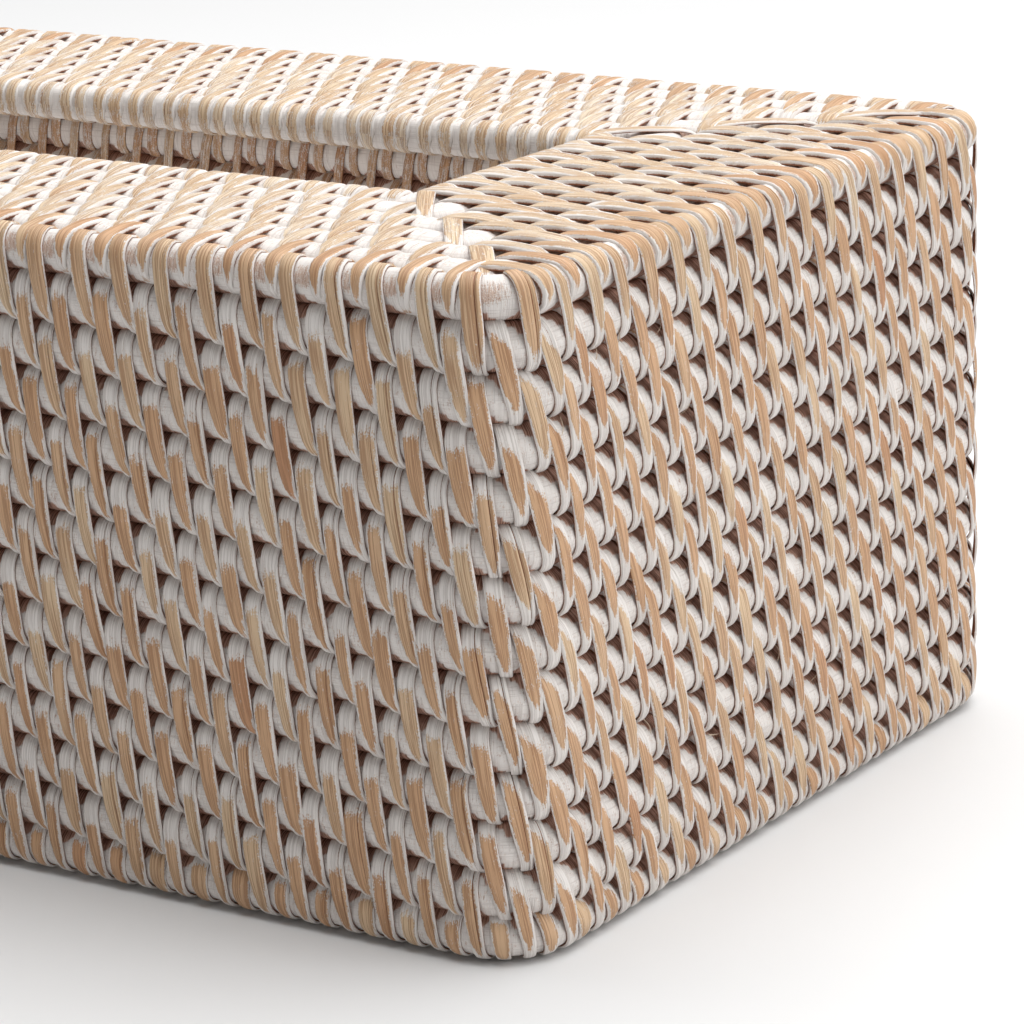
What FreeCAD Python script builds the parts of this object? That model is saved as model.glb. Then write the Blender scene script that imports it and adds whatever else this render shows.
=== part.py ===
"""Tissue box cover of rattan: rods stacked in courses and lashed together with split peel.

The cover stands on its lowest course, is open below so that it slips over a box, and has a
long slot in its top. X runs along the length, Y along the width, Z up from the surface.
"""
import FreeCAD, Part
import math
import os
import Sketcher

doc = FreeCAD.newDocument("TissueBoxCover")

# Driving dimensions, in millimetres, and counts
DRIVING_DIMENSIONS = (
    ("cover_length", 258.5, "outside length over the rods"),
    ("cover_width", 146.5, "outside width over the rods"),
    ("wall_course_count", 14, "rods stacked in a wall, foot and rim rods included"),
    ("top_course_count", 6, "rods of the top, from the rim rod inwards"),
    ("rod_size", 6.0, "rod across its flats"),
    ("course_gap", 1.25, "gap between two rods, where two strips pass"),
    ("corner_radius", 12.0, "bend of a wall rod, on its outer face"),
    ("least_bend", 2.5, "smallest bend that the rod takes, below which it is mitred"),
    ("strip_width", 3.0, "width of a peel strip"),
    ("strip_crown", 0.75, "height of a strip's rounded back"),
    ("strip_lean", 1.9, "how far a strip moves along the rods while it crosses two of them"),
    ("wrap_pitch", 7.5, "distance from one wrap of a lashing to the next"),
)
sheet = doc.addObject("Spreadsheet::Sheet", "Sizes")
for row, (alias, value, meaning) in enumerate(DRIVING_DIMENSIONS, start=1):
    sheet.set(f"A{row}", meaning)
    sheet.set(f"B{row}", str(value))
    sheet.setAlias(f"B{row}", alias)
doc.recompute()

# Chamfer that makes a square rod an octagon, as a share of the rod's size
OCTAGON_SHARE = 1.0 - 1.0 / math.sqrt(2.0)
# How far each lashing is shifted from the one before it, as a share of the distance between its wraps
STAGGER_SHARE = 0.55
SIDE_COUNT = 4

wall_course_count = int(sheet.wall_course_count)
top_course_count = int(sheet.top_course_count)
course_pitch = sheet.rod_size + sheet.course_gap
two_rods = course_pitch + sheet.rod_size
rim_level = (wall_course_count - 1) * course_pitch
top_level = rim_level + sheet.rod_size
half_length = sheet.cover_length / 2
half_width = sheet.cover_width / 2
sub_parts = []


def add_rectangle(sketch, name, inset):
    """Draw a rectangle about the sketch's origin, set in from the cover's outer faces by an expression."""
    corner_signs = ((-1, -1), (1, -1), (1, 1), (-1, 1))
    corners = [FreeCAD.Vector(half_length * x, half_width * y, 0) for x, y in corner_signs]
    front, right, back, left = range(sketch.GeometryCount, sketch.GeometryCount + SIDE_COUNT)
    for index, corner in enumerate(corners):
        sketch.addGeometry(Part.LineSegment(corner, corners[(index + 1) % SIDE_COUNT]))
    for line, following in ((front, right), (right, back), (back, left), (left, front)):
        sketch.addConstraint(Sketcher.Constraint("Coincident", line, 2, following, 1))
    for line in (front, back):
        sketch.addConstraint(Sketcher.Constraint("Horizontal", line))
    for line in (right, left):
        sketch.addConstraint(Sketcher.Constraint("Vertical", line))
    sketch.addConstraint(Sketcher.Constraint("Symmetric", front, 1, back, 1, -1, 1))
    for line, direction, alias in ((front, "DistanceX", "cover_length"), (right, "DistanceY", "cover_width")):
        size = Sketcher.Constraint(direction, line, 1, line, 2, sheet.get(alias))
        sketch.renameConstraint(sketch.addConstraint(size), f"{name}_{alias}")
        sketch.setExpression(f"Constraints.{name}_{alias}", f"Sizes.{alias} - 2 * ({inset})")


def corner_edges(shape, inset):
    """Name the four upright edges at the corners of a ring's plan."""
    names = []
    for number, edge in enumerate(shape.Edges, start=1):
        ends = [vertex.Point for vertex in edge.Vertexes]
        upright = all(math.isclose(getattr(ends[0], axis), getattr(ends[-1], axis)) for axis in "xy")
        along_length = math.isclose(abs(ends[0].x), half_length - inset)
        if upright and along_length and math.isclose(abs(ends[0].y), half_width - inset):
            names.append(f"Edge{number}")
    return names


def level_faces(shape):
    """Name a ring's top and bottom faces."""
    faces = enumerate(shape.Faces, start=1)
    return [f"Face{number}" for number, face in faces if math.isclose(abs(face.normalAt(0, 0).z), 1)]


def make_rod(label, course, level):
    """Bend one rod into a closed ring, a number of courses in from the wall and up from the foot."""
    body = doc.addObject("PartDesign::Body", label)
    body.Label = label
    outer_inset = f"{course} * (Sizes.rod_size + Sizes.course_gap)"
    plan = body.newObject("Sketcher::SketchObject", f"{label}_plan")
    ground = [plane for plane in body.Origin.OriginFeatures if plane.Role == "XY_Plane"]
    plan.AttachmentSupport = [(ground[0], "")]
    plan.MapMode = "FlatFace"
    plan.setExpression("AttachmentOffset.Base.z", f"{level} * (Sizes.rod_size + Sizes.course_gap)")
    add_rectangle(plan, "outer", outer_inset)
    add_rectangle(plan, "inner", f"{outer_inset} + Sizes.rod_size")
    ring = body.newObject("PartDesign::Pad", f"{label}_ring")
    ring.Profile = plan
    ring.setExpression("Length", "Sizes.rod_size")
    doc.recompute()
    feature = ring
    for side, extra in (("outer", ""), ("inner", " + Sizes.rod_size")):
        inset = course * course_pitch + (sheet.rod_size if extra else 0)
        if sheet.corner_radius - inset > sheet.least_bend:
            bend = body.newObject("PartDesign::Fillet", f"{label}_{side}_bend")
            bend.Base = (feature, corner_edges(feature.Shape, inset))
            bend.setExpression("Radius", f"Sizes.corner_radius - ({outer_inset}{extra})")
            doc.recompute()
            feature = bend
    flats = body.newObject("PartDesign::Chamfer", f"{label}_flats")
    flats.Base = (feature, level_faces(feature.Shape))
    flats.setExpression("Size", f"Sizes.rod_size * {OCTAGON_SHARE}")
    body.Tip = flats
    sub_parts.append(body)


def make_group(label, solids):
    """Keep the wraps of one lashing as a group of separate solids."""
    group = doc.addObject("Part::Feature", label)
    group.Label = label
    group.Shape = Part.makeCompound(solids)
    group.Placement = FreeCAD.Placement()
    sub_parts.append(group)


def strip(start, run, across, outward):
    """One crossing of a peel strip: its flat back lies on the rods, and its ridge stands outward."""
    half = across * (sheet.strip_width / 2)
    ridge = outward * sheet.strip_crown
    profile = Part.makePolygon([start - half, start + half, start + ridge, start - half])
    return Part.Face(profile).extrude(run)


def side_frames():
    """Give each side's direction, outward direction, half run and reach, counter-clockwise from the front."""
    for side in range(SIDE_COUNT):
        turn = side * math.pi / 2
        along = FreeCAD.Vector(math.cos(turn), math.sin(turn), 0)
        outward = FreeCAD.Vector(math.sin(turn), -math.cos(turn), 0)
        half_run, reach = (half_length, half_width) if side % 2 == 0 else (half_width, half_length)
        yield along, outward, half_run, reach


def wall_place(distance):
    """Point, direction and outward direction at a distance round the outside of a wall course."""
    bend = sheet.corner_radius
    quarter = bend * math.pi / 2
    for along, outward, half_run, reach in side_frames():
        straight = 2 * (half_run - bend)
        middle = outward * reach
        if distance < straight:
            return middle + along * (distance - straight / 2), along, outward
        distance -= straight
        if distance < quarter:
            turn = distance / bend
            bent_outward = outward * math.cos(turn) + along * math.sin(turn)
            bent_along = along * math.cos(turn) - outward * math.sin(turn)
            centre = middle + along * (straight / 2) - outward * bend
            return centre + bent_outward * bend, bent_along, bent_outward
        distance -= quarter
    return wall_place(distance)


def wall_wraps(step, bottom, height):
    """Wraps right round a wall course, shifted once more with each step down from the rim."""
    bend = sheet.corner_radius
    girth = 2 * (sheet.cover_length + sheet.cover_width) - 2 * SIDE_COUNT * bend + 2 * math.pi * bend
    count = round(girth / sheet.wrap_pitch)
    pitch = girth / count
    shift = step * STAGGER_SHARE * pitch
    lean = sheet.strip_lean * height / two_rods
    solids = []
    for number in range(count):
        place, along, outward = wall_place((number * pitch + shift) % girth)
        start = place - along * (lean / 2) + FreeCAD.Vector(0, 0, bottom + height)
        run = along * lean - FreeCAD.Vector(0, 0, height)
        solids.append(strip(start, run, along, outward))
    return solids


def side_places(reach, step):
    """Distances from the middle of a side to its wraps, with every second lashing shifted."""
    phase = STAGGER_SHARE * (step % 2)
    count = int(reach / sheet.wrap_pitch) + 1
    places = [(number + phase) * sheet.wrap_pitch for number in range(-count, count + 1)]
    return [place for place in places if abs(place) <= reach]


def top_wraps(course):
    """Wraps on the top over one course and the next one out, with a wrap on every second mitre."""
    outer_inset = (course - 1) * course_pitch
    inner_inset = course * course_pitch + sheet.rod_size
    lift = FreeCAD.Vector(0, 0, top_level)
    up = FreeCAD.Vector(0, 0, 1)
    solids = []
    for along, outward, half_run, reach in side_frames():
        limit = half_run - inner_inset - (sheet.strip_width + sheet.strip_lean) / 2
        for place in side_places(limit, course):
            start = outward * (reach - outer_inset) + along * (place + sheet.strip_lean / 2) + lift
            solids.append(strip(start, along * -sheet.strip_lean - outward * two_rods, along, up))
        if course % 2 == 0:
            corner = along * half_run + outward * reach
            inward = along * -1 - outward
            start = corner + inward * (outer_inset + sheet.strip_width / 2) + lift
            run = inward * (two_rods - sheet.strip_width - sheet.strip_width / 2)
            solids.append(strip(start, run, (along - outward).normalize(), up))
    return solids


def opening_wraps():
    """Short wraps down the slot's edge, round the innermost rod alone."""
    inset = top_course_count * course_pitch + sheet.rod_size
    lean = sheet.strip_lean * sheet.rod_size / two_rods
    solids = []
    for along, outward, half_run, reach in side_frames():
        limit = half_run - inset - (sheet.strip_width + lean) / 2 - sheet.strip_crown
        for place in side_places(limit, top_course_count + 1):
            start = outward * (reach - inset) + along * (place + lean / 2) + FreeCAD.Vector(0, 0, top_level)
            run = along * -lean - FreeCAD.Vector(0, 0, sheet.rod_size)
            solids.append(strip(start, run, along, outward * -1))
    return solids


# Rods of the walls, from the foot up to the rim
for level in range(wall_course_count):
    name = {0: "foot_rod", wall_course_count - 1: "rim_rod"}.get(level, f"wall_rod_{level + 1:02d}")
    make_rod(name, 0, level)

# Rods of the top, from the rim in to the slot
for course in range(1, top_course_count + 1):
    name = "opening_rod" if course == top_course_count else f"top_rod_{course}"
    make_rod(name, course, wall_course_count - 1)

# Lashings, each round a rod and the next one, and the short wraps that close the two edges
for level in range(wall_course_count - 1):
    wraps = wall_wraps(wall_course_count - 2 - level, level * course_pitch, two_rods)
    make_group(f"wall_lashing_{level + 1:02d}", wraps)
make_group("foot_binding", wall_wraps(wall_course_count - 1, 0, sheet.rod_size))
for course in range(1, top_course_count + 1):
    make_group(f"top_lashing_{course}", top_wraps(course))
make_group("opening_binding", opening_wraps())

doc.recompute()
for item in doc.Objects:
    if "Invalid" in item.State or "Error" in item.State:
        raise RuntimeError(f"{item.Label} failed to build")
for item in sub_parts:
    if item.Shape.isNull() or not item.Shape.isValid():
        raise RuntimeError(f"{item.Label} has no valid shape")

os.makedirs("parts", exist_ok=True)
for item in sub_parts:
    item.Shape.exportStep(f"parts/{item.Label}.step")
    print(item.Label, len(item.Shape.Solids), "solids", round(item.Shape.Volume), "cubic millimetres")
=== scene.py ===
import math

import bpy
import numpy as np
from mathutils import Matrix, Vector


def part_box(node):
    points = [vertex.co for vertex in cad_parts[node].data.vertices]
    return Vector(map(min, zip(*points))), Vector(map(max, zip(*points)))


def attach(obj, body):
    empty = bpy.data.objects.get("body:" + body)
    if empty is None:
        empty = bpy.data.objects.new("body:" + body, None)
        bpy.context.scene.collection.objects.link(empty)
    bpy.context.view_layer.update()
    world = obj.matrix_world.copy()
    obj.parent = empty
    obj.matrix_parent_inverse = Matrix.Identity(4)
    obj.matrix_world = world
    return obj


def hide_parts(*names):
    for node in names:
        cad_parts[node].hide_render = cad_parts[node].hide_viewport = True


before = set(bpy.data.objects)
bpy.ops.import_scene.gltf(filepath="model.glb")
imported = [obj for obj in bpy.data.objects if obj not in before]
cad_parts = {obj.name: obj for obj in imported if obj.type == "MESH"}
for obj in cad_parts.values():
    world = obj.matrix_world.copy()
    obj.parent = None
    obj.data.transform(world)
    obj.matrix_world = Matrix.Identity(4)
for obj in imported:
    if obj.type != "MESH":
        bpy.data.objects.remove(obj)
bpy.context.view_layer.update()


# Wall rods: fourteen courses of round rattan core, each bent to a rounded rectangle.
# Thin white paint is brushed on. It misses the grooves beside the wraps and is rubbed off the crests. The
# grooves are coloured brown: bare wood with painted shade in it, spreading widest beside the wraps.
# The wraps pull each rod in, so that it swells into a pillow between one wrap and the next.
MILLIMETRE = 0.001


def node_box(name):
    """Lowest and highest corners of a node of the frame, in millimetres."""
    return [np.array(corner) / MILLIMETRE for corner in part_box(name)]


foot_low, foot_high = node_box("foot_rod")
half_length, half_width, foot_top = foot_high
rod_size = foot_top - foot_low[2]
course_pitch = node_box("wall_rod_02")[0][2] - foot_low[2]
wall_names = sorted(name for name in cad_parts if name.startswith("wall_rod_"))
wall_names = ["foot_rod"] + wall_names + ["rim_rod"]
corner_radius = 12.0
rod_depth = 2.85
rod_rise = 3.64
wall_point_share = 1.12
rod_swell = 0.1
rod_unevenness = 0.05
foot_lift = 0.6
wrap_pitch_aim = 7.5
stagger_share = 0.545
pillow_share = 0.235
sections_per_pitch = 12
rod_places = 16
rod_map_rows = 7
paint_white = (236, 230, 225)
paint_grey = (200, 191, 185)
rubbed_wood = (216, 190, 173)
rubbed_line = (178, 142, 123)
# Groove colours: bare cane where the paint missed, also used as painted shade between the rods
groove_wood_and_shade = (202, 162, 143)
groove_line_and_shade = (146, 107, 91)
top_groove_share = 0.58
groove_bare_and_shade_angle = 13.0
beside_wrap_angle = 46.0
beside_wrap_power = 0.7
groove_softness = 11.0
mitre_fade = (5.0, 10.0)
rod_wash = 0.8
rub_edge = (0.72, 0.98)
pillow_rub_share = 0.5
wander_waves = (2, 3, 5, 9, 17)
wall_rub = (0.0, 0.07)
rim_rub = (18.0, 0.28)
wall_crest = 0
rim_crest = 45
dice_seed = 14
dice = np.random.default_rng(dice_seed)


def side_frames(inset=0.0):
    """Each side's direction, outward direction, half run and reach, counter-clockwise from the front."""
    for side in range(4):
        turn = side * math.pi / 2
        along = np.array([math.cos(turn), math.sin(turn)])
        outward = np.array([math.sin(turn), -math.cos(turn)])
        half_run, reach = (half_length, half_width) if side % 2 == 0 else (half_width, half_length)
        yield along, outward, half_run - inset, reach - inset


def ring_girth(inset, bend):
    """Length round the outer face of a course set in from the walls."""
    straights = sum(2 * (half_run - bend) for _, _, half_run, _ in side_frames(inset))
    return straights + 2 * math.pi * bend


def ring_place(distance, inset, bend):
    """Plan points on a course's outer face at distances round it, and the outward direction there."""
    left_over = np.mod(distance, ring_girth(inset, bend))
    point = np.zeros(left_over.shape + (2,))
    facing = np.zeros(left_over.shape + (2,))
    for along, outward, half_run, reach in side_frames(inset):
        straight = 2 * (half_run - bend)
        here = (left_over >= 0) & (left_over < straight)
        step = left_over[here][:, None]
        point[here] = outward * reach + along * (step - straight / 2)
        facing[here] = outward
        left_over = np.where(here, -1.0, left_over - straight)
        here = (left_over >= 0) & (left_over < bend * math.pi / 2)
        turn = left_over[here][:, None] / bend
        facing[here] = outward * np.cos(turn) + along * np.sin(turn)
        centre = outward * (reach - bend) + along * (straight / 2)
        point[here] = centre + facing[here] * bend
        left_over = np.where(here, -1.0, left_over - bend * math.pi / 2)
    return point, facing


wall_girth = ring_girth(0.0, corner_radius)
wall_wrap_count = round(wall_girth / wrap_pitch_aim)
wrap_pitch = wall_girth / wall_wrap_count


def lashing_shift(course):
    """How far round the walls a lashing starts, from the course number of its upper or inner rod."""
    return -course * stagger_share * wrap_pitch


# Distance round the walls to the middle of each side, counted from the start of the front's straight run
side_middles = []
passed = 0.0
for _, _, half_run, _ in side_frames():
    side_middles.append(passed + half_run - corner_radius)
    passed += 2 * (half_run - corner_radius) + corner_radius * math.pi / 2


screen_white = 255
screen_power = 2.2


def linear(colour):
    """Light values of a paint colour that is given as it looks on a screen."""
    return [(part / screen_white) ** screen_power for part in colour] + [1.0]


def add_node(tree, kind, sockets=(), **settings):
    """Add a shader node, set its properties, and link or set its sockets."""
    added = tree.nodes.new(f"ShaderNode{kind}")
    for name, value in settings.items():
        setattr(added, name, value)
    for key, value in dict(sockets).items():
        if isinstance(value, bpy.types.NodeSocket):
            tree.links.new(value, added.inputs[key])
        else:
            added.inputs[key].default_value = value
    return added


def new_group(name, inputs, outputs):
    """Start a shader node group and give back its tree, its input node and its output node."""
    tree = bpy.data.node_groups.new(name, "ShaderNodeTree")
    for label, kind in inputs:
        tree.interface.new_socket(name=label, in_out="INPUT", socket_type=f"NodeSocket{kind}")
    for label, kind in outputs:
        tree.interface.new_socket(name=label, in_out="OUTPUT", socket_type=f"NodeSocket{kind}")
    return tree, tree.nodes.new("NodeGroupInput"), tree.nodes.new("NodeGroupOutput")


streak_detail = 3.0


def streaks(tree, place, first_count, second_count, low, high):
    """Noise drawn out one way, from its counts per millimetre each way, and sharpened between two levels."""
    counts = (first_count, second_count, 1.0)
    drawn = add_node(tree, "VectorMath", {0: place, 1: counts}, operation="MULTIPLY")
    noise = add_node(tree, "TexNoise", {"Vector": drawn.outputs[0], "Scale": 1.0, "Detail": streak_detail})
    levels = {"Value": noise.outputs[0], "From Min": low, "From Max": high}
    return add_node(tree, "MapRange", levels, interpolation_type="SMOOTHSTEP").outputs[0]


def blend(tree, share, first, second):
    """Mix two colours, each a socket or a plain colour."""
    return add_node(tree, "Mix", {0: share, 6: first, 7: second}, data_type="RGBA").outputs[2]


def arithmetic(tree, operation, *values):
    """One sum on sockets or plain numbers."""
    return add_node(tree, "Math", dict(enumerate(values)), operation=operation).outputs[0]


# Streaks of the cane and its paint: counts per millimetre each way, and the two levels
fine_lines = (5.6, 0.09, 0.46, 0.57)
broad_bands = (1.5, 0.08, 0.35, 0.65)
bristle_marks = (4.6, 0.6, 0.25, 0.75)
blot_marks = (1.1, 0.6, 0.25, 0.75)
speck_marks = (6.0, 3.5, 0.25, 0.75)
brush_lines = (0.16, 3.4, 0.5, 0.68)
blot_share = 0.5
mean_ragged = 1.25
wash_edge = (0.34, 0.66)
rod_rag = 0.3
groove_rag = 0.12
rod_line_strength = 0.55
rod_line_depth = 0.5
rod_roughness = (0.6, 0.8)
seed_spread = 40.0
bump_strength = 0.6
bump_depth = 0.1 * MILLIMETRE
cane_gloss = 0.3

fibre_tree, given, result = new_group(
    "Cane fibres", [("Place", "Vector")], [("Lines", "Float"), ("Bands", "Float")]
)
fibre_tree.links.new(streaks(fibre_tree, given.outputs[0], *fine_lines), result.inputs[0])
fibre_tree.links.new(streaks(fibre_tree, given.outputs[0], *broad_bands), result.inputs[1])

wash_tree, given, result = new_group(
    "Brushed whitewash", [("Place", "Vector"), ("Cover", "Float"), ("Rag", "Float")], [("Mask", "Float")]
)
bristles = streaks(wash_tree, given.outputs[0], *bristle_marks)
blots = streaks(wash_tree, given.outputs[0], *blot_marks)
specks = streaks(wash_tree, given.outputs[0], *speck_marks)
spots = arithmetic(wash_tree, "MULTIPLY_ADD", blots, blot_share, specks)
uneven = arithmetic(wash_tree, "SUBTRACT", arithmetic(wash_tree, "ADD", bristles, spots), mean_ragged)
ragged = arithmetic(wash_tree, "MULTIPLY", uneven, given.outputs[2])
cover = arithmetic(wash_tree, "ADD", given.outputs[1], ragged)
edge = {"Value": cover, "From Min": wash_edge[0], "From Max": wash_edge[1]}
mask = add_node(wash_tree, "MapRange", edge, interpolation_type="SMOOTHSTEP").outputs[0]
wash_tree.links.new(mask, result.inputs[0])


def new_material(name):
    """Start a material and give back its tree and its shader."""
    material = bpy.data.materials.new(name)
    material.use_nodes = True
    return material, material.node_tree, material.node_tree.nodes["Principled BSDF"]


def mark(tree, name):
    """A number that the mesh carries at each of its points."""
    return add_node(tree, "Attribute", attribute_name=name).outputs["Fac"]


def grain_place(tree):
    """Two lengths on the cane's surface in millimetres, with a seed from the tone mark as the third part."""
    flat = add_node(tree, "UVMap", uv_map="grain").outputs[0]
    parts = add_node(tree, "SeparateXYZ", {0: flat})
    seed = arithmetic(tree, "MULTIPLY", mark(tree, "tone"), seed_spread)
    return add_node(tree, "CombineXYZ", {0: parts.outputs[0], 1: parts.outputs[1], 2: seed}).outputs[0]


def use_group(tree, group, **sockets):
    """Place a node group in a material."""
    added = tree.nodes.new("ShaderNodeGroup")
    added.node_tree = group
    for name, value in sockets.items():
        if isinstance(value, bpy.types.NodeSocket):
            tree.links.new(value, added.inputs[name])
        else:
            added.inputs[name].default_value = value
    return added


def finish_surface(tree, shader, colour, wash, height, roughness):
    """Link a cane's colour, its roughness from bare to painted, and its raised fibres to the shader."""
    tree.links.new(colour, shader.inputs["Base Color"])
    levels = {"Value": wash, "To Min": roughness[0], "To Max": roughness[1]}
    tree.links.new(add_node(tree, "MapRange", levels).outputs[0], shader.inputs["Roughness"])
    bump = add_node(tree, "Bump", {"Strength": bump_strength, "Distance": bump_depth, "Height": height})
    tree.links.new(bump.outputs[0], shader.inputs["Normal"])
    shader.inputs["Specular IOR Level"].default_value = cane_gloss


washed_rod, tree, shader = new_material("washed_rod")
place = grain_place(tree)
fibres = use_group(tree, fibre_tree, Place=place)
wash = use_group(tree, wash_tree, Place=place, Cover=mark(tree, "wash"), Rag=rod_rag)
bare_and_shade = use_group(tree, wash_tree, Place=place, Cover=mark(tree, "bare_and_shade"), Rag=groove_rag)
bare = blend(tree, fibres.outputs["Lines"], linear(rubbed_wood), linear(rubbed_line))
hatch = arithmetic(tree, "MULTIPLY", fibres.outputs["Lines"], fibres.outputs["Bands"])
brushed = streaks(tree, place, *brush_lines)
faint = arithmetic(tree, "MULTIPLY", arithmetic(tree, "MAXIMUM", hatch, brushed), rod_line_strength)
paint = blend(tree, faint, linear(paint_white), linear(paint_grey))
painted = blend(tree, wash.outputs[0], bare, paint)
# Painted shade: the grooves between rods take the brown groove colour, bare wood mixed with painted shade
shaded_groove_colour = blend(tree, fibres.outputs["Lines"], linear(groove_wood_and_shade), linear(groove_line_and_shade))
colour = blend(tree, bare_and_shade.outputs[0], painted, shaded_groove_colour)
shallow = arithmetic(tree, "MULTIPLY", fibres.outputs["Lines"], rod_line_depth)
raised = arithmetic(tree, "SUBTRACT", wash.outputs[0], shallow)
finish_surface(tree, shader, colour, wash.outputs[0], raised, rod_roughness)


def weave_piece(name, node, rings, grain, marks, map_rows, material, slot):
    """Skin closed bands, each a loop of cross-sections, as one piece that stands for a node of the frame.

    rings holds the points by band, section and place. grain holds two lengths for each, with the
    first section and place repeated at the end. Each band takes map_rows cells of the baking map.
    """
    bands, sections, places = rings.shape[:3]
    first = np.arange(bands * sections * places).reshape(bands, sections, places)
    beside = np.roll(first, -1, axis=2)
    corners = np.stack([first, beside, np.roll(beside, -1, axis=1), np.roll(first, -1, axis=1)], axis=-1)
    mesh = bpy.data.meshes.new(name)
    mesh.vertices.add(rings.size // 3)
    mesh.vertices.foreach_set("co", (rings * MILLIMETRE).ravel())
    mesh.loops.add(corners.size)
    mesh.loops.foreach_set("vertex_index", corners.ravel())
    mesh.polygons.add(corners.size // 4)
    mesh.polygons.foreach_set("loop_start", np.arange(0, corners.size, 4))
    mesh.polygons.foreach_set("use_smooth", np.ones(corners.size // 4, dtype=bool))
    mesh.update(calc_edges=True)

    cells = bands * map_rows
    extent = np.ptp(grain[0].reshape(-1, 2), axis=0)
    columns = max(1, round(math.sqrt(cells * max(extent) / map_rows / min(extent))))
    lines = math.ceil(cells / columns)
    cell = np.arange(bands)[:, None] * map_rows + np.arange(sections) * map_rows // sections
    step = np.arange(sections) * map_rows / sections % 1.0
    corner_step = np.array([0, 0, 1, 1]) * map_rows / sections
    corner_place = np.array([0, 1, 1, 0]) / places
    margin = 0.04
    along = margin + (1 - 2 * margin) * (step[None, :, None, None] + corner_step)
    over = margin + (1 - 2 * margin) * ((np.arange(places) / places)[None, None, :, None] + corner_place)
    shape = corners.shape
    flat = np.stack(
        [
            np.broadcast_to((cell % columns)[:, :, None, None] + over, shape) / columns,
            np.broadcast_to((cell // columns)[:, :, None, None] + along, shape) / lines,
        ],
        axis=-1,
    )
    here, next_place, next_section = np.s_[:, :-1, :-1], np.s_[:, :-1, 1:], np.s_[:, 1:, :-1]
    lengths = np.stack([grain[here], grain[next_place], grain[:, 1:, 1:], grain[next_section]], axis=3)
    for label, values in (("OFBake", flat), ("grain", lengths)):
        mesh.uv_layers.new(name=label).uv.foreach_set("vector", values.astype(np.float32).ravel())
    for label, values in marks.items():
        layer = mesh.attributes.new(label, "FLOAT", "POINT")
        layer.data.foreach_set("value", np.broadcast_to(values, first.shape).astype(np.float32).ravel())
    mesh.materials.append(material)
    piece = bpy.data.objects.new(name, mesh)
    bpy.context.scene.collection.objects.link(piece)
    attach(piece, "root")
    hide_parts(node)


def smooth_step(value, low, high):
    """Rise from 0 at low to 1 at high, with no corners."""
    share = np.clip((value - low) / (high - low), 0.0, 1.0)
    return share * share * (3 - 2 * share)


def wander(distance, girth, size):
    """A slow wave with no seam round a course, as a hand-bent rod has."""
    total = np.zeros_like(distance)
    for waves in wander_waves:
        swing = dice.normal()
        turns = waves * distance / girth + dice.random()
        total += swing * np.sin(2 * math.pi * turns) / waves ** 0.5
    return size * total / 2


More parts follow.
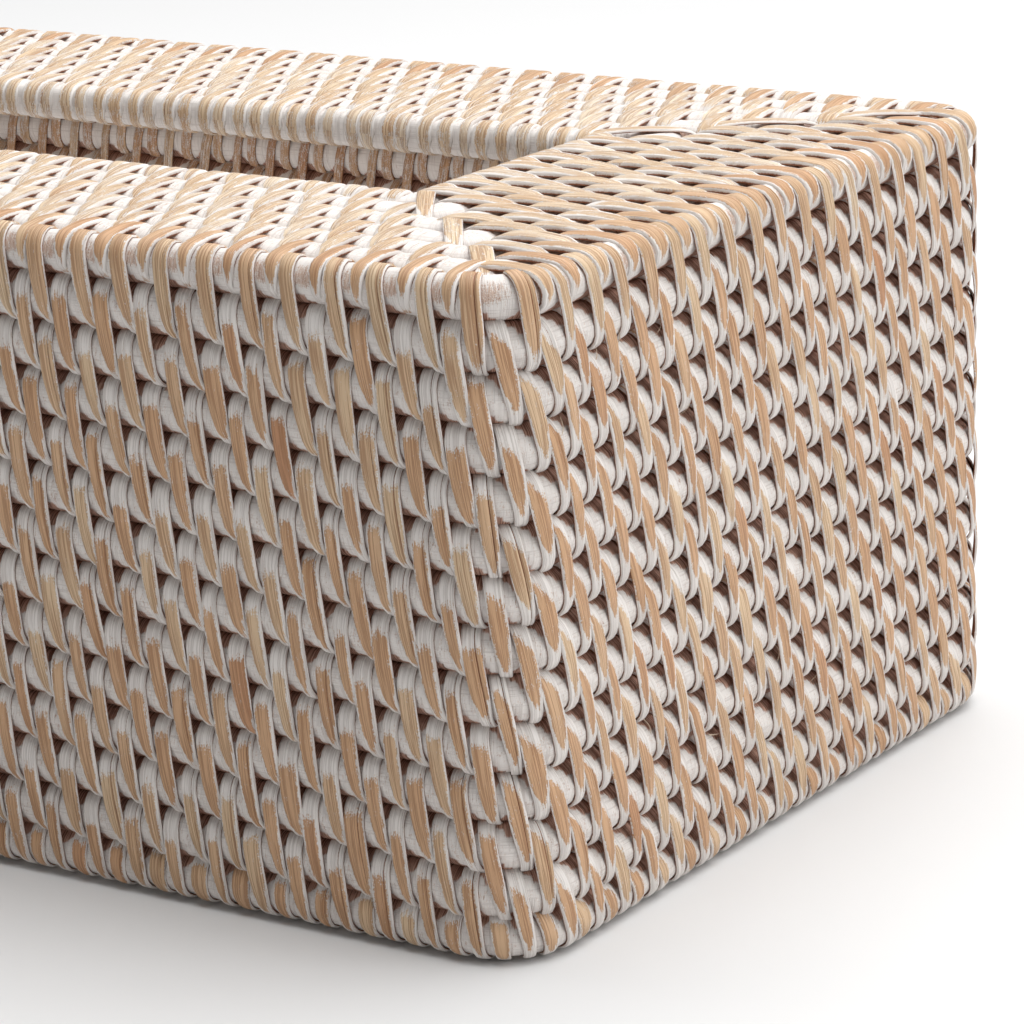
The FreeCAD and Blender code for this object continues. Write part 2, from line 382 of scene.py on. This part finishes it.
def bend_rod(node, inset, bend, height, course, crest, grooves, rub, point_share):
    """One rod: a tube round its course. Directions are degrees up from outward.

    grooves gives the direction of each neighbouring rod, and the place of the wraps that cross to it,
    in pitches from the wraps that start on this rod. rub is the direction and share of worn paint.
    A point_share over 1 draws the rod's section towards a diamond, and one under 1 towards a square.
    """
    girth = ring_girth(inset, bend)
    count = rod_map_rows * round(girth / wrap_pitch * sections_per_pitch / rod_map_rows)
    distance = np.arange(count) * girth / count
    point, outward = ring_place(distance, inset, bend)
    sides = list(side_frames())
    facing_sides = [[side_way @ way for _, side_way, _, _ in sides] for way in outward]
    side = np.array(facing_sides).argmax(axis=1)
    along_side = np.array([sides[number][0] @ spot for number, spot in zip(side, point)])
    side_run = np.array([half_run for _, _, half_run, _ in sides])[side]
    on_walls = inset == 0
    girth_place = distance if on_walls else along_side + np.array(side_middles)[side]
    to_mitre = side_run - inset - np.abs(along_side)
    from_mitre = 1.0 if on_walls else smooth_step(to_mitre, *mitre_fade)[:, None]
    pitches = ((girth_place - lashing_shift(course)) / wrap_pitch)[:, None]
    pillow = np.cos(2 * math.pi * (pitches - pillow_share))

    angle = np.arange(rod_places) * 2 * math.pi / rod_places
    reach = {way: rod_rise if way in grooves else rod_depth for way in (0, 90, 180, -90)}
    cosine, sine = np.cos(angle), np.sin(angle)
    flat_way = np.where(cosine > 0, reach[0], reach[180]) * np.sign(cosine) * np.abs(cosine) ** point_share
    tall_way = np.where(sine > 0, reach[90], reach[-90]) * np.sign(sine) * np.abs(sine) ** point_share
    on_crest = np.clip(np.cos(angle - math.radians(crest)), 0.0, 1.0)
    bulge = rod_swell * pillow + wander(distance, girth, rod_unevenness)[:, None]
    fatness = 1 + bulge * on_crest / rod_depth
    centre_out = wander(distance, girth, rod_unevenness) - rod_size / 2
    centre_up = height + rod_size / 2 + wander(distance, girth, rod_unevenness)
    out = centre_out[:, None] + fatness * flat_way
    rings = np.zeros((1, count, rod_places, 3))
    rings[0, :, :, :2] = point[:, None, :] + outward[:, None, :] * out[:, :, None]
    rings[0, :, :, 2] = centre_up[:, None] + fatness * tall_way

    grain = np.zeros((1, count + 1, rod_places + 1, 2))
    grain[0, :, :, 0] = (np.arange(count + 1) * girth / count)[:, None]
    grain[0, :, :, 1] = np.arange(rod_places + 1) * 2 * math.pi * rod_rise / rod_places
    # Painted shade with bare wood: each face towards a neighbouring rod turns brown, over a wider angle
    # beside the wraps that cross there, fading at the mitres and weaker on the top
    bare_and_shade = np.zeros((count, rod_places))
    for direction, crossing in grooves.items():
        away = np.abs((np.degrees(angle) - direction + 180) % 360 - 180)
        near_wrap = 0.5 + 0.5 * np.cos(2 * math.pi * (pitches - crossing))
        bare_and_shade_angle = groove_bare_and_shade_angle + beside_wrap_angle * (from_mitre * near_wrap ** beside_wrap_power)
        missed_and_shaded = smooth_step(away, bare_and_shade_angle + groove_softness, bare_and_shade_angle - groove_softness)
        bare_and_shade = np.maximum(bare_and_shade, missed_and_shaded * (1.0 if on_walls else top_groove_share))
    rub_way, rub_share = rub
    on_rub = smooth_step(np.cos(angle - math.radians(rub_way)), *rub_edge)
    worn = on_rub * rub_share * (1 + pillow_rub_share * pillow)
    marks = {"wash": rod_wash - worn, "bare_and_shade": bare_and_shade, "tone": dice.random()}
    weave_piece(f"cane_{node}", node, rings, grain, marks, rod_map_rows, washed_rod, "washed_rod")


rim_course = len(wall_names) - 1
for course, node in enumerate(wall_names):
    height = course * course_pitch + (foot_lift if course == 0 else 0.0)
    grooves = {-90: 0.0, 90: -stagger_share}
    if course == 0:
        del grooves[-90]
    crest, rub = wall_crest, wall_rub
    if course == rim_course:
        grooves = {-90: 0.0, 180: -stagger_share}
        crest, rub = rim_crest, rim_rub
    bend_rod(node, 0.0, corner_radius, height, course, crest, grooves, rub, wall_point_share)


# Top rods: six more courses inside the rim, down to the slot, bent tightly so that the corners line up.
# They are the same core and paint as the walls, and the innermost one makes the slot's edge.
top_names = sorted(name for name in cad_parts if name.startswith("top_rod_")) + ["opening_rod"]
mitre_bend = 5.9
top_point_share = 0.7
top_crest = 90
top_rub = (90.0, 0.1)
rim_height = rim_course * course_pitch
for number, node in enumerate(top_names, start=1):
    grooves = {0: 0.0} if node == "opening_rod" else {0: 0.0, 180: -stagger_share}
    bend_rod(node, number * course_pitch, mitre_bend, rim_height, rim_course + number, top_crest, grooves,
             top_rub, top_point_share)


# Wall lashings: thirteen strips of split rattan peel, each wound round a rod and the next one down.
# A strip leans as it comes down the outside, is widest where it leaves the groove above,
# and is painted with the rods, then rubbed back to the honey-coloured peel on its flat back.
strip_width = 2.8
strip_thickness = 0.54
strip_bow = 0.22
foot_width_share = 0.68
strip_unevenness_share = 0.08
section_across = np.array([-1, -1, -0.9, -0.6, -0.2, 0.1, 0.3, 0.4, 0.5, 0.86, 1, 1])
section_height = np.array([0, 0.6, 0.86, 0.97, 1, 0.99, 0.97, 0.96, 0.95, 0.84, 0.58, 0])
split_place = 7
split_height = 0.3
split_chance = 0.25
lean_share = 0.36
short_side_lean_share = 0.16
corner_lean_share = -0.05
rim_corner_lean_share = -0.28
bare_start_share = 0.245
bare_end_share = 0.87
short_side_bare_share = 0.05
short_side_tip_share = 0.13
short_side_slant_share = 0.14
cream = (234, 219, 197)
straw = (224, 199, 166)
honey = (210, 169, 133)
russet = (196, 145, 110)
fibre_band = (196, 158, 122)
fibre_line = (155, 110, 78)
# Split wood: the bare wood of a split strip, also used as painted shade along each strip's foot edges
split_wood_and_foot_shade = (140, 90, 64)
wood_stops = ((0.3, straw), (0.7, honey), (0.93, honey))
wall_tones = (0.35, 1.0)
rim_tones = (0.2, 0.6)
rim_split_chance = 0.85
bare_from_top = -0.2
narrowing_run = (0.45, 0.95)
wall_veil = 0.04
veil_range = 0.08
strip_rag = 0.42
band_strength = 0.22
line_strength = 0.6
strip_roughness = (0.48, 0.78)
rubbed_width_share = 0.87
rubbed_width_spread = 0.05
rubbed_start_spread = 0.05
rubbed_end_spread = 0.025
rubbed_offset = 0.02
rubbed_edge_softness = 0.12
rubbed_start_softness = 0.09
rubbed_end_softness = (0.07, 0.05)
tip_run = 0.2
tip_narrowing = 0.5
full_wash = 0.95
inner_wash = 0.4
inner_start = 1.08
inner_gap = 0.12
# Painted shade along each strip's foot edges, where it meets the rods
foot_shade = 0.8
split_grime = 0.9
lean_spread = 0.14
thickness_spread = 0.16
place_spread_share = 0.03
outer_turn_points, inner_turn_points = 6, 4
outer_run_points, inner_run_points = 7, 4

peel_strip, tree, shader = new_material("peel_strip")
place = grain_place(tree)
fibres = use_group(tree, fibre_tree, Place=place)
wash = use_group(tree, wash_tree, Place=place, Cover=mark(tree, "wash"), Rag=strip_rag)
bare_and_shade = use_group(tree, wash_tree, Place=place, Cover=mark(tree, "bare_and_shade"), Rag=groove_rag)
tones = add_node(tree, "ValToRGB", {0: mark(tree, "tone")})
tones.color_ramp.elements[0].color = linear(cream)
tones.color_ramp.elements[1].color = linear(russet)
for place_share, wood in wood_stops:
    tones.color_ramp.elements.new(place_share).color = linear(wood)
band_share = arithmetic(tree, "MULTIPLY", fibres.outputs["Bands"], band_strength)
banded = blend(tree, band_share, tones.outputs[0], linear(fibre_band))
line_share = arithmetic(tree, "MULTIPLY", fibres.outputs["Lines"], line_strength)
lined = blend(tree, line_share, banded, linear(fibre_line))
paint = blend(tree, line_share, linear(paint_white), linear(paint_grey))
painted = blend(tree, wash.outputs[0], lined, paint)
# Dark split wood on the split lines, and painted shade along the strips' foot edges
colour = blend(tree, bare_and_shade.outputs[0], painted, linear(split_wood_and_foot_shade))
raised = arithmetic(tree, "SUBTRACT", wash.outputs[0], fibres.outputs["Lines"])
finish_surface(tree, shader, colour, wash.outputs[0], raised, strip_roughness)


def loop_path(span, upper_reach, lower_reach):
    """Path of a strip round two rods in steps down and out, the way it faces, its length and its turn in."""
    fine = np.linspace(0, math.pi / 2, outer_turn_points)[:-1]
    coarse = np.linspace(0, math.pi / 2, inner_turn_points)[:-1]
    run = np.linspace(0, 1, outer_run_points)[:-1] if span else np.zeros(0)
    back = np.linspace(0, 1, inner_run_points)[:-1] if span else np.zeros(0)
    faces_down = np.concatenate(
        [-np.cos(fine), 0 * run, np.sin(fine), np.cos(coarse), 0 * back, -np.sin(coarse)]
    )
    faces_out = np.concatenate(
        [np.sin(fine), 0 * run + 1, np.cos(fine), -np.sin(coarse), 0 * back - 1, -np.cos(coarse)]
    )
    shift = np.concatenate([0 * fine, run, 0 * fine + 1, 0 * coarse + 1, 1 - back, 0 * coarse])
    bow = np.concatenate([0 * fine, np.sin(math.pi * run), 0 * fine, 0 * coarse, 0 * back, 0 * coarse])
    reach = np.where(faces_down < 0, upper_reach, lower_reach)
    spots = np.stack([faces_down * reach + shift * span, faces_out * rod_depth + bow * strip_bow], axis=-1)
    steps = np.linalg.norm(np.roll(spots, -1, axis=0) - spots, axis=1)
    length = np.concatenate([[0.0], np.cumsum(steps)])
    turn = len(fine) * 2 + len(run)
    return spots, np.stack([faces_down, faces_out], axis=-1), length, turn


def lay_strips(starts, frame_at, span, lean, upper_reach=rod_rise, lower_reach=rod_rise, width=strip_width,
               foot_share=foot_width_share, narrows=narrowing_run, bare_from=bare_start_share,
               bare_to=bare_end_share, slant=0.0, bare_share=rubbed_width_share, veil=wall_veil,
               tones=wall_tones, splits=split_chance, sink=0.0):
    """Wraps of one strip round two rods, or round one if the span is nothing.

    frame_at gives the upper rod's middle and the ways down and out at distances along the rods. The
    peel is rubbed bare between two shares of the run down the outside, and narrows between two others.
    sink is how far the strip's sides reach in past the face it lies on.
    """
    spots, facing, length, turn = loop_path(span, upper_reach, lower_reach)
    count, sections = len(starts), len(spots)
    run = np.where(np.arange(sections) < turn, length[:-1] / length[turn],
                   1 + (length[:-1] - length[turn]) / (length[-1] - length[turn]))
    side_step = np.where(run < 1, run - 0.5, 1.5 - run)
    lean = lean * (1 + lean_spread * dice.normal(size=count))
    distance = starts[:, None] + lean[:, None] * side_step
    middle, down, out = frame_at(distance)
    path = middle + down * spots[:, :1] + out * spots[:, 1:]
    faces = np.broadcast_to(down * facing[:, :1] + out * facing[:, 1:], path.shape)
    heading = np.roll(path, -1, axis=1) - np.roll(path, 1, axis=1)
    across = np.cross(faces, heading)
    across /= np.linalg.norm(across, axis=-1, keepdims=True)
    taper = 1 - (1 - foot_share) * smooth_step(run, *narrows)
    half = width / 2 * (1 + strip_unevenness_share * dice.normal(size=(count, 1))) * taper
    rise = np.tile(section_height, (count, 1))
    split = dice.random(count) < splits
    rise[split, split_place] = split_height
    thick = strip_thickness * (1 - thickness_spread * dice.random((count, 1)))
    rise[:, [0, -1]] -= sink / thick
    rings = path[:, :, None] + across[:, :, None] * (half[:, :, None] * section_across)[..., None]
    rings = rings + faces[:, :, None] * (rise * thick)[:, None, :, None]

    grain = np.zeros((count, sections + 1, len(section_across) + 1, 2))
    grain[:, :, :, 0] = np.append(section_across, section_across[0]) * width / 2
    grain[:, :, :, 1] = length[None, :, None]
    here = run[None, :, None]
    first_bare = np.reshape(bare_from, (-1, 1, 1)) + np.reshape(slant, (-1, 1, 1)) * section_across
    first_bare = first_bare + rubbed_start_spread * dice.normal(size=(count, 1, 1))
    last_bare = np.reshape(bare_to, (-1, 1, 1)) + rubbed_end_spread * dice.normal(size=(count, 1, 1))
    bare_half = bare_share + rubbed_width_spread * dice.normal(size=(count, 1, 1))
    bare_half = bare_half - tip_narrowing * smooth_step(here, last_bare - tip_run, last_bare)
    off_middle = np.abs(section_across + rubbed_offset)
    edges = smooth_step(off_middle, bare_half - rubbed_edge_softness, bare_half + rubbed_edge_softness)
    before = smooth_step(here, first_bare + rubbed_start_softness, first_bare - rubbed_start_softness)
    after = smooth_step(here, last_bare - rubbed_end_softness[0], last_bare + rubbed_end_softness[1])
    painted = np.maximum(np.maximum(before, after), edges)
    left_on = veil + veil_range * dice.random((count, 1, 1))
    shown = here < np.maximum(inner_start, last_bare + inner_gap)
    wash = np.where(shown, np.clip(painted, left_on, full_wash), inner_wash)
    bare_and_shade = np.zeros_like(wash)
    # Painted shade on the foot edges where the strip meets the rods; the split line is bare split wood
    bare_and_shade[:, :, [0, -1]] = foot_shade
    bare_and_shade[:, :, split_place] = np.where(split, split_grime, 0.0)[:, None]
    tone = tones[0] + (tones[1] - tones[0]) * dice.random((count, 1, 1))
    marks = {"wash": wash, "bare_and_shade": bare_and_shade, "tone": tone}
    return rings, grain, {key: np.broadcast_to(value, wash.shape) for key, value in marks.items()}


def wall_frame(height):
    """Frames round a wall course whose upper rod has its middle at a height."""
    def frame_at(distance):
        point, outward = ring_place(distance.ravel(), 0.0, corner_radius)
        out = np.concatenate([outward, np.zeros((len(outward), 1))], axis=1)
        middle = np.concatenate([point - outward * rod_size / 2, np.full((len(point), 1), height)], axis=1)
        shape = distance.shape + (3,)
        return middle.reshape(shape), np.array([0.0, 0.0, -1.0]), out.reshape(shape)
    return frame_at


def wall_wraps(course, height, span, corner_share=corner_lean_share, **finish):
    """Wraps of a lashing right round the walls, a little uneven, which lean more on the short sides."""
    uneven = place_spread_share * wrap_pitch * dice.normal(size=wall_wrap_count)
    starts = np.arange(wall_wrap_count) * wrap_pitch + lashing_shift(course) + uneven
    _, outward = ring_place(starts, 0.0, corner_radius)
    short_side = outward[:, 0] ** 2
    share = lean_share + short_side_lean_share * short_side
    share = share + corner_share * 2 * np.abs(outward[:, 0] * outward[:, 1])
    lean = share * wrap_pitch * (span + rod_size) / (course_pitch + rod_size)
    rubbed = {"bare_from": bare_start_share - short_side_bare_share * short_side,
              "bare_to": bare_end_share - short_side_tip_share * short_side,
              "slant": short_side_slant_share * short_side}
    return lay_strips(starts, wall_frame(height), span, lean, **(rubbed | finish))


for course in range(1, len(wall_names)):
    node = f"wall_lashing_{course:02d}"
    finish = {}
    span = course_pitch
    if course == 1:
        span = course_pitch - foot_lift
        finish = {"lower_reach": rod_depth}
    if course == rim_course:
        finish = {"upper_reach": rod_depth, "bare_from": bare_from_top, "splits": rim_split_chance,
                  "tones": rim_tones, "corner_share": rim_corner_lean_share}
    laid = wall_wraps(course, course * course_pitch + rod_size / 2, span, **finish)
    weave_piece(f"peel_{node}", node, *laid, 1, peel_strip, "peel_strip")


# Foot binding: short wraps of the same peel round the foot rod alone, between the wraps of the lowest
# lashing. They finish the open edge, and the cover stands on them.
laid = wall_wraps(0, foot_lift + rod_size / 2, 0.0, lower_reach=rod_depth)
weave_piece("peel_foot_binding", "foot_binding", *laid, 1, peel_strip, "peel_strip")


# Top lashings: six strips, each round a rod of the top and the next one out. The first reaches
# over the rim and down its face. Wraps laid on the mitres bind the corners of two rods at a time.
top_middle = rim_height + rod_size / 2
top_strip_width = 3.0
short_side_widening = 1.1
top_sink = 0.32
top_lean_share = 0.3
top_tones = (0.05, 0.4)
top_veil = 0.24
short_wrap_width = 2.6
top_bare_start_share = 0.14
top_bare_end_share = 0.9
slot_bare_width_share = 0.7
mitre_width = 3.1
mitre_lean = -4.4
mitre_foot_share = 0.9
mitre_bare_end_share = 0.86
short_wrap_shift_share = -0.08
short_wrap_bare_start_share = 0.1
short_wrap_bare_end_share = 1.07
short_wrap_tones = (0.4, 0.92)
short_wrap_narrowing = (0.8, 1.2)
short_wrap_split_chance = 0.1
short_wrap_foot_share = 0.5
short_wrap_end_gap = -1.5
top_end_gap = 1.8


def side_frame(along, outward, reach):
    """Frames along one side of the top. The inner rod has its middle at a reach from the cover's centre."""
    along, outward = np.append(along, 0.0), np.append(outward, 0.0)

    def frame_at(distance):
        middle = outward * reach + along * distance[..., None] + np.array([0.0, 0.0, top_middle])
        return middle, outward, np.array([0.0, 0.0, 1.0])
    return frame_at


def side_wraps(course, inset, span, width=top_strip_width, shift=0.0, end_gap=top_end_gap, **finish):
    """Wraps of one course of the top, side by side, at the same places along a side as on the walls."""
    groups = []
    for (along, outward, half_run, reach), middle in zip(side_frames(), side_middles):
        limit = half_run - inset - end_gap
        places = np.arange(wall_wrap_count) * wrap_pitch + lashing_shift(course) + shift - middle
        places = np.sort((places + wall_girth / 2) % wall_girth - wall_girth / 2)
        places = places[np.abs(places) <= limit]
        places = places + place_spread_share * wrap_pitch * dice.normal(size=len(places))
        lean = top_lean_share * wrap_pitch * outward[1] ** 2 * (span + rod_size) / (course_pitch + rod_size)
        wide = width + short_side_widening * outward[0] ** 2
        frame_at = side_frame(along, outward, reach - inset)
        groups.append(lay_strips(places, frame_at, span, lean, width=wide, sink=top_sink, **finish))
    return groups


def mitre_wraps(inset):
    """A wrap on each of the four mitres, over the corners of two rods."""
    groups = []
    for along, outward, half_run, reach in side_frames(inset):
        diagonal, beside = (along + outward) / math.sqrt(2), (along - outward) / math.sqrt(2)
        corner = along * half_run + outward * reach
        laid = lay_strips(np.array([corner @ beside]), side_frame(beside, diagonal, corner @ diagonal),
                          course_pitch * math.sqrt(2), mitre_lean, rod_rise * math.sqrt(2),
                          rod_rise * math.sqrt(2), width=mitre_width, foot_share=mitre_foot_share,
                          bare_from=0.0, bare_to=mitre_bare_end_share, tones=top_tones, veil=top_veil)
        groups.append(laid)
    return groups


def join_groups(groups):
    """Put the wraps of several sides into one set."""
    rings, grain, marks = zip(*groups)
    joined = {key: np.concatenate([each[key] for each in marks]) for key in marks[0]}
    return np.concatenate(rings), np.concatenate(grain), joined


for number in range(1, len(top_names) + 1):
    node = f"top_lashing_{number}"
    inset = number * course_pitch + rod_size / 2
    finish = {"bare_from": top_bare_start_share, "bare_to": top_bare_end_share, "tones": top_tones,
              "veil": top_veil}
    if number == 1:
        finish = {"width": short_wrap_width, "bare_from": short_wrap_bare_start_share,
                  "bare_to": short_wrap_bare_end_share, "tones": short_wrap_tones,
                  "foot_share": short_wrap_foot_share, "narrows": short_wrap_narrowing,
                  "splits": short_wrap_split_chance, "lower_reach": rod_depth,
                  "shift": short_wrap_shift_share * wrap_pitch, "end_gap": short_wrap_end_gap}
    if number == len(top_names):
        finish |= {"upper_reach": rod_depth, "bare_from": bare_from_top, "bare_share": slot_bare_width_share}
    groups = side_wraps(rim_course + number, inset, course_pitch, **finish)
    if number % 2 == 0:
        groups += mitre_wraps(inset)
    weave_piece(f"peel_{node}", node, *join_groups(groups), 1, peel_strip, "peel_strip")


# Opening binding: short wraps of peel round the innermost rod alone, between the wraps of the last lashing.
# They finish the edge of the slot that the tissues are pulled through.
opening_course = rim_course + len(top_names) + 1
opening_inset = len(top_names) * course_pitch + rod_size / 2
opening_bare_width_share = 0.66
groups = side_wraps(opening_course, opening_inset, 0.0, upper_reach=rod_depth, bare_from=bare_from_top,
                    bare_share=opening_bare_width_share, tones=top_tones, veil=top_veil)
weave_piece("peel_opening_binding", "opening_binding", *join_groups(groups), 1, peel_strip, "peel_strip")


# Frayed fibres: hair-thin slivers of peel that have sprung loose from the strips, scattered over the walls.
# Each curls along the wall, stands out most in its middle and thins to its end, no further than the strips.
fibre_count = 90
fibre_half = 0.09
fibre_taper = 1.15
fibre_steps = 9
fibre_sides = 4
fibre_least, fibre_range = 2.5, 3.5
fibre_least_curl = 0.5
fibre_root, fibre_spring = -1.1, 0.85
fibre_corners = []
fibre_faces = []
for start in dice.random(fibre_count) * wall_girth:
    rise = course_pitch * (1 + dice.random() * (rim_course - 2)) + rod_size / 2
    heading = dice.random() * 2 * math.pi
    curl = dice.choice([-1, 1]) * (fibre_least_curl + dice.random())
    reach = fibre_least + fibre_range * dice.random()
    share = np.linspace(0, 1, fibre_steps)
    bearing = heading + curl * share
    sideways = start + np.cumsum(np.cos(bearing)) * reach / fibre_steps
    upward = rise + np.cumsum(np.sin(bearing)) * reach / fibre_steps
    point, outward = ring_place(sideways, 0.0, corner_radius)
    lift = fibre_root + fibre_spring * np.sin(math.pi * share)
    half = fibre_half * (fibre_taper - share)
    first = len(fibre_corners)
    for turn in range(fibre_sides):
        out, over = math.cos(turn * math.pi / 2), math.sin(turn * math.pi / 2)
        plan = point + outward * (lift + half * out)[:, None]
        fibre_corners += np.column_stack([plan, upward + half * over]).tolist()
    for step in range(fibre_steps - 1):
        for turn in range(fibre_sides):
            low = first + turn * fibre_steps + step
            high = first + (turn + 1) % fibre_sides * fibre_steps + step
            fibre_faces.append((low, high, high + 1, low + 1))
    fibre_faces.append([first + turn * fibre_steps for turn in reversed(range(fibre_sides))])
    fibre_faces.append([first + turn * fibre_steps + fibre_steps - 1 for turn in range(fibre_sides)])
fibre_mesh = bpy.data.meshes.new("frayed_fibres")
fibre_mesh.from_pydata((np.array(fibre_corners) * MILLIMETRE).tolist(), [], fibre_faces)
fibre_mesh.materials.append(peel_strip)
fibre_piece = bpy.data.objects.new("frayed_fibres", fibre_mesh)
bpy.context.scene.collection.objects.link(fibre_piece)
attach(fibre_piece, "root")


# Studio: a plain pale floor, which throws light back on the walls, a broad soft light overhead and behind,
# one from the right, a weak low one in front, a small one under the slot, and a dim white room.
floor_half = 3.0
floor_shade = (0.73, 0.77)
floor_speckle = 3.0
floor_roughness = 0.9
room_strength = 0.1
lamps = (
    ("overhead_light", (0.1, 0.4, 1.4), (0.0, 0.1, 0.0), (2.0, 2.0), 43.0),
    ("right_light", (1.3, 0.1, 0.6), (0.1, 0.0, 0.05), (0.9, 0.9), 5.8),
    ("front_light", (-0.3, -1.7, 0.58), (0.0, 0.0, 0.08), (2.0, 0.4), 1.5),
    ("slot_light", (-0.01, -0.03, 0.03), (-0.01, 0.066, 0.085), (0.2, 0.04), 0.05),
)
floor_mesh = bpy.data.meshes.new("floor")
floor_corners = [(-floor_half, -floor_half, 0), (floor_half, -floor_half, 0),
                 (floor_half, floor_half, 0), (-floor_half, floor_half, 0)]
floor_mesh.from_pydata(floor_corners, [], [(0, 1, 2, 3)])
floor = bpy.data.objects.new("floor", floor_mesh)
bpy.context.scene.collection.objects.link(floor)
floor_paint, tree, shader = new_material("floor_paint")
speckle = add_node(tree, "TexNoise", {"Scale": floor_speckle})
levels = {"Value": speckle.outputs[0], "To Min": floor_shade[0], "To Max": floor_shade[1]}
tree.links.new(add_node(tree, "MapRange", levels).outputs[0], shader.inputs["Base Color"])
shader.inputs["Roughness"].default_value = floor_roughness
floor_mesh.materials.append(floor_paint)

world = bpy.data.worlds.new("white_room")
bpy.context.scene.world = world
world.use_nodes = True
world.node_tree.nodes["Background"].inputs["Color"].default_value = (1.0, 1.0, 1.0, 1.0)
world.node_tree.nodes["Background"].inputs["Strength"].default_value = room_strength
for label, spot, aim, size, power in lamps:
    lamp = bpy.data.lights.new(label, "AREA")
    lamp.shape = "RECTANGLE"
    lamp.size, lamp.size_y = size
    lamp.energy = power
    light = bpy.data.objects.new(label, lamp)
    light.location = spot
    light.visible_camera = False
    light.rotation_euler = (Vector(spot) - Vector(aim)).to_track_quat("Z", "Y").to_euler()
    bpy.context.scene.collection.objects.link(light)
bpy.context.scene.view_settings.view_transform = "Standard"

# Camera: a long lens to the right of the cover's front and a little above it, tilted as in the photograph
camera_spot = (0.4324, -0.5367, 0.2240)
camera_azimuth = math.radians(-33.28)
camera_elevation = math.radians(15.68)
camera_roll = math.radians(-1.70)
camera_lens = 147.94
camera_sensor = 36.0
camera_nearest = 0.01
forward = np.array([
    math.sin(camera_azimuth) * math.cos(camera_elevation),
    math.cos(camera_azimuth) * math.cos(camera_elevation),
    -math.sin(camera_elevation),
])
level = np.cross(forward, (0.0, 0.0, 1.0))
level /= np.linalg.norm(level)
upright = np.cross(level, forward)
sideways = math.cos(camera_roll) * level + math.sin(camera_roll) * upright
upward = math.cos(camera_roll) * upright - math.sin(camera_roll) * level
lens = bpy.data.cameras.new("camera")
lens.lens = camera_lens
lens.sensor_width = camera_sensor
lens.clip_start = camera_nearest
camera = bpy.data.objects.new("camera", lens)
turn = Matrix(np.column_stack([sideways, upward, -forward]).tolist()).to_4x4()
camera.matrix_world = Matrix.Translation(camera_spot) @ turn
bpy.context.scene.collection.objects.link(camera)
bpy.context.scene.camera = camera
